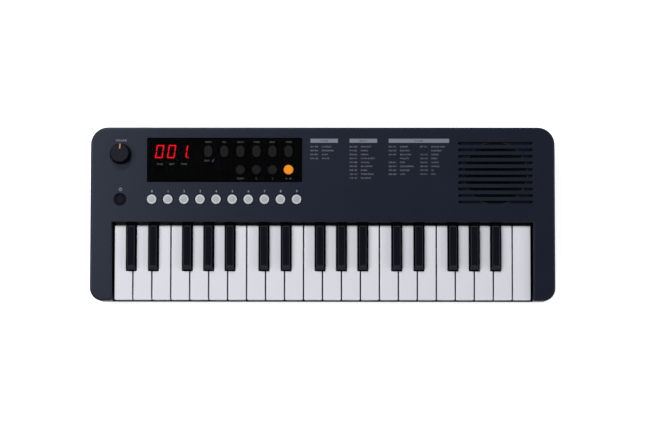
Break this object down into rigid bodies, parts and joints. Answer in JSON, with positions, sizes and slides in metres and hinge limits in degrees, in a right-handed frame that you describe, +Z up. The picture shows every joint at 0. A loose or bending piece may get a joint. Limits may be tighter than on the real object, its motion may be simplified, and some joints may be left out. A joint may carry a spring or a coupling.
{
  "type": "synthesizer",
  "caption": "Compact mini-key keyboard synthesizer with hinged piano keys, button panel, numeric display, volume knob and built-in speaker.",
  "frame": {"origin": "on the surface the feet stand on, under the middle of the case", "axes": "+X to the player's right, towards the high notes; +Y away from the player; +Z up"},
  "size_m": [0.4812, 0.1804, 0.0566],
  "materials": {
    "case_plastic": "fine matte moulded texture, dark slate blue",
    "rubber": "matte",
    "frame_plastic": "moulded black",
    "circuit_board": "solder mask",
    "silicone": "matte silicone",
    "window": "gloss black acrylic",
    "display_body": "tinted module with red segments",
    "grey_caps": "satin silver-grey",
    "dark_caps": "satin black",
    "orange_cap": "satin amber",
    "knob_plastic": "satin black",
    "plated_steel": "nickel plated",
    "speaker_steel": "semi-gloss black",
    "speaker_paper": "black paper",
    "socket_plastic": "moulded black",
    "screw_steel": "black zinc",
    "white_keys": "polished white",
    "black_keys": "satin black"
  },
  "bodies": {
    "case": {"upper_case": "case_plastic", "lower_case": "case_plastic", "rubber_feet": "rubber", "key_frame": "frame_plastic", "key_contact_board": "circuit_board", "key_contact_strip": "silicone", "display_window": "window", "led_display": "display_body", "control_board": "circuit_board", "volume_potentiometer": "plated_steel", "speaker_frame": "speaker_steel", "speaker_cone": "speaker_paper", "jack_board": "socket_plastic", "battery_contacts": "plated_steel", "screws": "screw_steel"},
    "volume_control": {"volume_knob": "knob_plastic", "volume_shaft": "plated_steel"},
    "battery_cover": {"battery_cover": "case_plastic"},
    "power_button": {"power_button": "dark_caps"},
    "start_stop_button": {"start_stop_button": "orange_cap"},
    "number_buttons": {"number_buttons": "grey_caps"},
    "function_buttons": {"function_buttons": "dark_caps"},
    "select_buttons": {"select_buttons": "dark_caps"},
    "white_key_c3": {"white_key_c3": "white_keys"},
    "black_key_c_sharp3": {"black_key_c_sharp3": "black_keys"},
    "white_key_d3": {"white_key_d3": "white_keys"},
    "black_key_d_sharp3": {"black_key_d_sharp3": "black_keys"},
    "white_key_e3": {"white_key_e3": "white_keys"},
    "white_key_f3": {"white_key_f3": "white_keys"},
    "black_key_f_sharp3": {"black_key_f_sharp3": "black_keys"},
    "white_key_g3": {"white_key_g3": "white_keys"},
    "black_key_g_sharp3": {"black_key_g_sharp3": "black_keys"},
    "white_key_a3": {"white_key_a3": "white_keys"},
    "black_key_a_sharp3": {"black_key_a_sharp3": "black_keys"},
    "white_key_b3": {"white_key_b3": "white_keys"},
    "white_key_c4": {"white_key_c4": "white_keys"},
    "black_key_c_sharp4": {"black_key_c_sharp4": "black_keys"},
    "white_key_d4": {"white_key_d4": "white_keys"},
    "black_key_d_sharp4": {"black_key_d_sharp4": "black_keys"},
    "white_key_e4": {"white_key_e4": "white_keys"},
    "white_key_f4": {"white_key_f4": "white_keys"},
    "black_key_f_sharp4": {"black_key_f_sharp4": "black_keys"},
    "white_key_g4": {"white_key_g4": "white_keys"},
    "black_key_g_sharp4": {"black_key_g_sharp4": "black_keys"},
    "white_key_a4": {"white_key_a4": "white_keys"},
    "black_key_a_sharp4": {"black_key_a_sharp4": "black_keys"},
    "white_key_b4": {"white_key_b4": "white_keys"},
    "white_key_c5": {"white_key_c5": "white_keys"},
    "black_key_c_sharp5": {"black_key_c_sharp5": "black_keys"},
    "white_key_d5": {"white_key_d5": "white_keys"},
    "black_key_d_sharp5": {"black_key_d_sharp5": "black_keys"},
    "white_key_e5": {"white_key_e5": "white_keys"},
    "white_key_f5": {"white_key_f5": "white_keys"},
    "black_key_f_sharp5": {"black_key_f_sharp5": "black_keys"},
    "white_key_g5": {"white_key_g5": "white_keys"},
    "black_key_g_sharp5": {"black_key_g_sharp5": "black_keys"},
    "white_key_a5": {"white_key_a5": "white_keys"},
    "black_key_a_sharp5": {"black_key_a_sharp5": "black_keys"},
    "white_key_b5": {"white_key_b5": "white_keys"},
    "white_key_c6": {"white_key_c6": "white_keys"}
  },
  "joints": [
    {"name": "volume_turn", "type": "hinge", "parent": "case", "child": "volume_control", "pos_m": [-0.2099, 0.0624, 0.047], "axis": [0, 0, 1], "range_deg": [-133, 147]},
    {"name": "battery_cover_hinge", "type": "hinge", "parent": "case", "child": "battery_cover", "pos_m": [0, 0.0406, 0.0041], "axis": [-1, 0, 0], "range_deg": [0, 95]},
    {"name": "power_press", "type": "slide", "parent": "case", "child": "power_button", "axis": [0, 0, -1], "range_m": [0, 0.0012], "stiffness_N_per_m": 300, "springref_m": -0.003},
    {"name": "start_stop_press", "type": "slide", "parent": "case", "child": "start_stop_button", "axis": [0, 0, -1], "range_m": [0, 0.0012], "stiffness_N_per_m": 300, "springref_m": -0.003},
    {"name": "number_press", "type": "slide", "parent": "case", "child": "number_buttons", "axis": [0, 0, -1], "range_m": [0, 0.0012], "stiffness_N_per_m": 300, "springref_m": -0.003},
    {"name": "function_press", "type": "slide", "parent": "case", "child": "function_buttons", "axis": [0, 0, -1], "range_m": [0, 0.0012], "stiffness_N_per_m": 300, "springref_m": -0.003},
    {"name": "select_press", "type": "slide", "parent": "case", "child": "select_buttons", "axis": [0, 0, -1], "range_m": [0, 0.0012], "stiffness_N_per_m": 300, "springref_m": -0.003},
    {"name": "white_c3_press", "type": "hinge", "parent": "case", "child": "white_key_c3", "pos_m": [0, 0.003, 0.027], "axis": [1, 0, 0], "range_deg": [0, 3.7], "stiffness_Nm_per_rad": 0.6, "springref_deg": -1.91, "deforming": ["key_contact_strip"]},
    {"name": "black_c_sharp3_press", "type": "hinge", "parent": "case", "child": "black_key_c_sharp3", "pos_m": [0, 0.003, 0.027], "axis": [1, 0, 0], "range_deg": [0, 3.7], "stiffness_Nm_per_rad": 0.6, "springref_deg": -1.91, "deforming": ["key_contact_strip"]},
    {"name": "white_d3_press", "type": "hinge", "parent": "case", "child": "white_key_d3", "pos_m": [0, 0.003, 0.027], "axis": [1, 0, 0], "range_deg": [0, 3.7], "stiffness_Nm_per_rad": 0.6, "springref_deg": -1.91, "deforming": ["key_contact_strip"]},
    {"name": "black_d_sharp3_press", "type": "hinge", "parent": "case", "child": "black_key_d_sharp3", "pos_m": [0, 0.003, 0.027], "axis": [1, 0, 0], "range_deg": [0, 3.7], "stiffness_Nm_per_rad": 0.6, "springref_deg": -1.91, "deforming": ["key_contact_strip"]},
    {"name": "white_e3_press", "type": "hinge", "parent": "case", "child": "white_key_e3", "pos_m": [0, 0.003, 0.027], "axis": [1, 0, 0], "range_deg": [0, 3.7], "stiffness_Nm_per_rad": 0.6, "springref_deg": -1.91, "deforming": ["key_contact_strip"]},
    {"name": "white_f3_press", "type": "hinge", "parent": "case", "child": "white_key_f3", "pos_m": [0, 0.003, 0.027], "axis": [1, 0, 0], "range_deg": [0, 3.7], "stiffness_Nm_per_rad": 0.6, "springref_deg": -1.91, "deforming": ["key_contact_strip"]},
    {"name": "black_f_sharp3_press", "type": "hinge", "parent": "case", "child": "black_key_f_sharp3", "pos_m": [0, 0.003, 0.027], "axis": [1, 0, 0], "range_deg": [0, 3.7], "stiffness_Nm_per_rad": 0.6, "springref_deg": -1.91, "deforming": ["key_contact_strip"]},
    {"name": "white_g3_press", "type": "hinge", "parent": "case", "child": "white_key_g3", "pos_m": [0, 0.003, 0.027], "axis": [1, 0, 0], "range_deg": [0, 3.7], "stiffness_Nm_per_rad": 0.6, "springref_deg": -1.91, "deforming": ["key_contact_strip"]},
    {"name": "black_g_sharp3_press", "type": "hinge", "parent": "case", "child": "black_key_g_sharp3", "pos_m": [0, 0.003, 0.027], "axis": [1, 0, 0], "range_deg": [0, 3.7], "stiffness_Nm_per_rad": 0.6, "springref_deg": -1.91, "deforming": ["key_contact_strip"]},
    {"name": "white_a3_press", "type": "hinge", "parent": "case", "child": "white_key_a3", "pos_m": [0, 0.003, 0.027], "axis": [1, 0, 0], "range_deg": [0, 3.7], "stiffness_Nm_per_rad": 0.6, "springref_deg": -1.91, "deforming": ["key_contact_strip"]},
    {"name": "black_a_sharp3_press", "type": "hinge", "parent": "case", "child": "black_key_a_sharp3", "pos_m": [0, 0.003, 0.027], "axis": [1, 0, 0], "range_deg": [0, 3.7], "stiffness_Nm_per_rad": 0.6, "springref_deg": -1.91, "deforming": ["key_contact_strip"]},
    {"name": "white_b3_press", "type": "hinge", "parent": "case", "child": "white_key_b3", "pos_m": [0, 0.003, 0.027], "axis": [1, 0, 0], "range_deg": [0, 3.7], "stiffness_Nm_per_rad": 0.6, "springref_deg": -1.91, "deforming": ["key_contact_strip"]},
    {"name": "white_c4_press", "type": "hinge", "parent": "case", "child": "white_key_c4", "pos_m": [0, 0.003, 0.027], "axis": [1, 0, 0], "range_deg": [0, 3.7], "stiffness_Nm_per_rad": 0.6, "springref_deg": -1.91, "deforming": ["key_contact_strip"]},
    {"name": "black_c_sharp4_press", "type": "hinge", "parent": "case", "child": "black_key_c_sharp4", "pos_m": [0, 0.003, 0.027], "axis": [1, 0, 0], "range_deg": [0, 3.7], "stiffness_Nm_per_rad": 0.6, "springref_deg": -1.91, "deforming": ["key_contact_strip"]},
    {"name": "white_d4_press", "type": "hinge", "parent": "case", "child": "white_key_d4", "pos_m": [0, 0.003, 0.027], "axis": [1, 0, 0], "range_deg": [0, 3.7], "stiffness_Nm_per_rad": 0.6, "springref_deg": -1.91, "deforming": ["key_contact_strip"]},
    {"name": "black_d_sharp4_press", "type": "hinge", "parent": "case", "child": "black_key_d_sharp4", "pos_m": [0, 0.003, 0.027], "axis": [1, 0, 0], "range_deg": [0, 3.7], "stiffness_Nm_per_rad": 0.6, "springref_deg": -1.91, "deforming": ["key_contact_strip"]},
    {"name": "white_e4_press", "type": "hinge", "parent": "case", "child": "white_key_e4", "pos_m": [0, 0.003, 0.027], "axis": [1, 0, 0], "range_deg": [0, 3.7], "stiffness_Nm_per_rad": 0.6, "springref_deg": -1.91, "deforming": ["key_contact_strip"]},
    {"name": "white_f4_press", "type": "hinge", "parent": "case", "child": "white_key_f4", "pos_m": [0, 0.003, 0.027], "axis": [1, 0, 0], "range_deg": [0, 3.7], "stiffness_Nm_per_rad": 0.6, "springref_deg": -1.91, "deforming": ["key_contact_strip"]},
    {"name": "black_f_sharp4_press", "type": "hinge", "parent": "case", "child": "black_key_f_sharp4", "pos_m": [0, 0.003, 0.027], "axis": [1, 0, 0], "range_deg": [0, 3.7], "stiffness_Nm_per_rad": 0.6, "springref_deg": -1.91, "deforming": ["key_contact_strip"]},
    {"name": "white_g4_press", "type": "hinge", "parent": "case", "child": "white_key_g4", "pos_m": [0, 0.003, 0.027], "axis": [1, 0, 0], "range_deg": [0, 3.7], "stiffness_Nm_per_rad": 0.6, "springref_deg": -1.91, "deforming": ["key_contact_strip"]},
    {"name": "black_g_sharp4_press", "type": "hinge", "parent": "case", "child": "black_key_g_sharp4", "pos_m": [0, 0.003, 0.027], "axis": [1, 0, 0], "range_deg": [0, 3.7], "stiffness_Nm_per_rad": 0.6, "springref_deg": -1.91, "deforming": ["key_contact_strip"]},
    {"name": "white_a4_press", "type": "hinge", "parent": "case", "child": "white_key_a4", "pos_m": [0, 0.003, 0.027], "axis": [1, 0, 0], "range_deg": [0, 3.7], "stiffness_Nm_per_rad": 0.6, "springref_deg": -1.91, "deforming": ["key_contact_strip"]},
    {"name": "black_a_sharp4_press", "type": "hinge", "parent": "case", "child": "black_key_a_sharp4", "pos_m": [0, 0.003, 0.027], "axis": [1, 0, 0], "range_deg": [0, 3.7], "stiffness_Nm_per_rad": 0.6, "springref_deg": -1.91, "deforming": ["key_contact_strip"]},
    {"name": "white_b4_press", "type": "hinge", "parent": "case", "child": "white_key_b4", "pos_m": [0, 0.003, 0.027], "axis": [1, 0, 0], "range_deg": [0, 3.7], "stiffness_Nm_per_rad": 0.6, "springref_deg": -1.91, "deforming": ["key_contact_strip"]},
    {"name": "white_c5_press", "type": "hinge", "parent": "case", "child": "white_key_c5", "pos_m": [0, 0.003, 0.027], "axis": [1, 0, 0], "range_deg": [0, 3.7], "stiffness_Nm_per_rad": 0.6, "springref_deg": -1.91, "deforming": ["key_contact_strip"]},
    {"name": "black_c_sharp5_press", "type": "hinge", "parent": "case", "child": "black_key_c_sharp5", "pos_m": [0, 0.003, 0.027], "axis": [1, 0, 0], "range_deg": [0, 3.7], "stiffness_Nm_per_rad": 0.6, "springref_deg": -1.91, "deforming": ["key_contact_strip"]},
    {"name": "white_d5_press", "type": "hinge", "parent": "case", "child": "white_key_d5", "pos_m": [0, 0.003, 0.027], "axis": [1, 0, 0], "range_deg": [0, 3.7], "stiffness_Nm_per_rad": 0.6, "springref_deg": -1.91, "deforming": ["key_contact_strip"]},
    {"name": "black_d_sharp5_press", "type": "hinge", "parent": "case", "child": "black_key_d_sharp5", "pos_m": [0, 0.003, 0.027], "axis": [1, 0, 0], "range_deg": [0, 3.7], "stiffness_Nm_per_rad": 0.6, "springref_deg": -1.91, "deforming": ["key_contact_strip"]},
    {"name": "white_e5_press", "type": "hinge", "parent": "case", "child": "white_key_e5", "pos_m": [0, 0.003, 0.027], "axis": [1, 0, 0], "range_deg": [0, 3.7], "stiffness_Nm_per_rad": 0.6, "springref_deg": -1.91, "deforming": ["key_contact_strip"]},
    {"name": "white_f5_press", "type": "hinge", "parent": "case", "child": "white_key_f5", "pos_m": [0, 0.003, 0.027], "axis": [1, 0, 0], "range_deg": [0, 3.7], "stiffness_Nm_per_rad": 0.6, "springref_deg": -1.91, "deforming": ["key_contact_strip"]},
    {"name": "black_f_sharp5_press", "type": "hinge", "parent": "case", "child": "black_key_f_sharp5", "pos_m": [0, 0.003, 0.027], "axis": [1, 0, 0], "range_deg": [0, 3.7], "stiffness_Nm_per_rad": 0.6, "springref_deg": -1.91, "deforming": ["key_contact_strip"]},
    {"name": "white_g5_press", "type": "hinge", "parent": "case", "child": "white_key_g5", "pos_m": [0, 0.003, 0.027], "axis": [1, 0, 0], "range_deg": [0, 3.7], "stiffness_Nm_per_rad": 0.6, "springref_deg": -1.91, "deforming": ["key_contact_strip"]},
    {"name": "black_g_sharp5_press", "type": "hinge", "parent": "case", "child": "black_key_g_sharp5", "pos_m": [0, 0.003, 0.027], "axis": [1, 0, 0], "range_deg": [0, 3.7], "stiffness_Nm_per_rad": 0.6, "springref_deg": -1.91, "deforming": ["key_contact_strip"]},
    {"name": "white_a5_press", "type": "hinge", "parent": "case", "child": "white_key_a5", "pos_m": [0, 0.003, 0.027], "axis": [1, 0, 0], "range_deg": [0, 3.7], "stiffness_Nm_per_rad": 0.6, "springref_deg": -1.91, "deforming": ["key_contact_strip"]},
    {"name": "black_a_sharp5_press", "type": "hinge", "parent": "case", "child": "black_key_a_sharp5", "pos_m": [0, 0.003, 0.027], "axis": [1, 0, 0], "range_deg": [0, 3.7], "stiffness_Nm_per_rad": 0.6, "springref_deg": -1.91, "deforming": ["key_contact_strip"]},
    {"name": "white_b5_press", "type": "hinge", "parent": "case", "child": "white_key_b5", "pos_m": [0, 0.003, 0.027], "axis": [1, 0, 0], "range_deg": [0, 3.7], "stiffness_Nm_per_rad": 0.6, "springref_deg": -1.91, "deforming": ["key_contact_strip"]},
    {"name": "white_c6_press", "type": "hinge", "parent": "case", "child": "white_key_c6", "pos_m": [0, 0.003, 0.027], "axis": [1, 0, 0], "range_deg": [0, 3.7], "stiffness_Nm_per_rad": 0.6, "springref_deg": -1.91, "deforming": ["key_contact_strip"]}
  ]
}
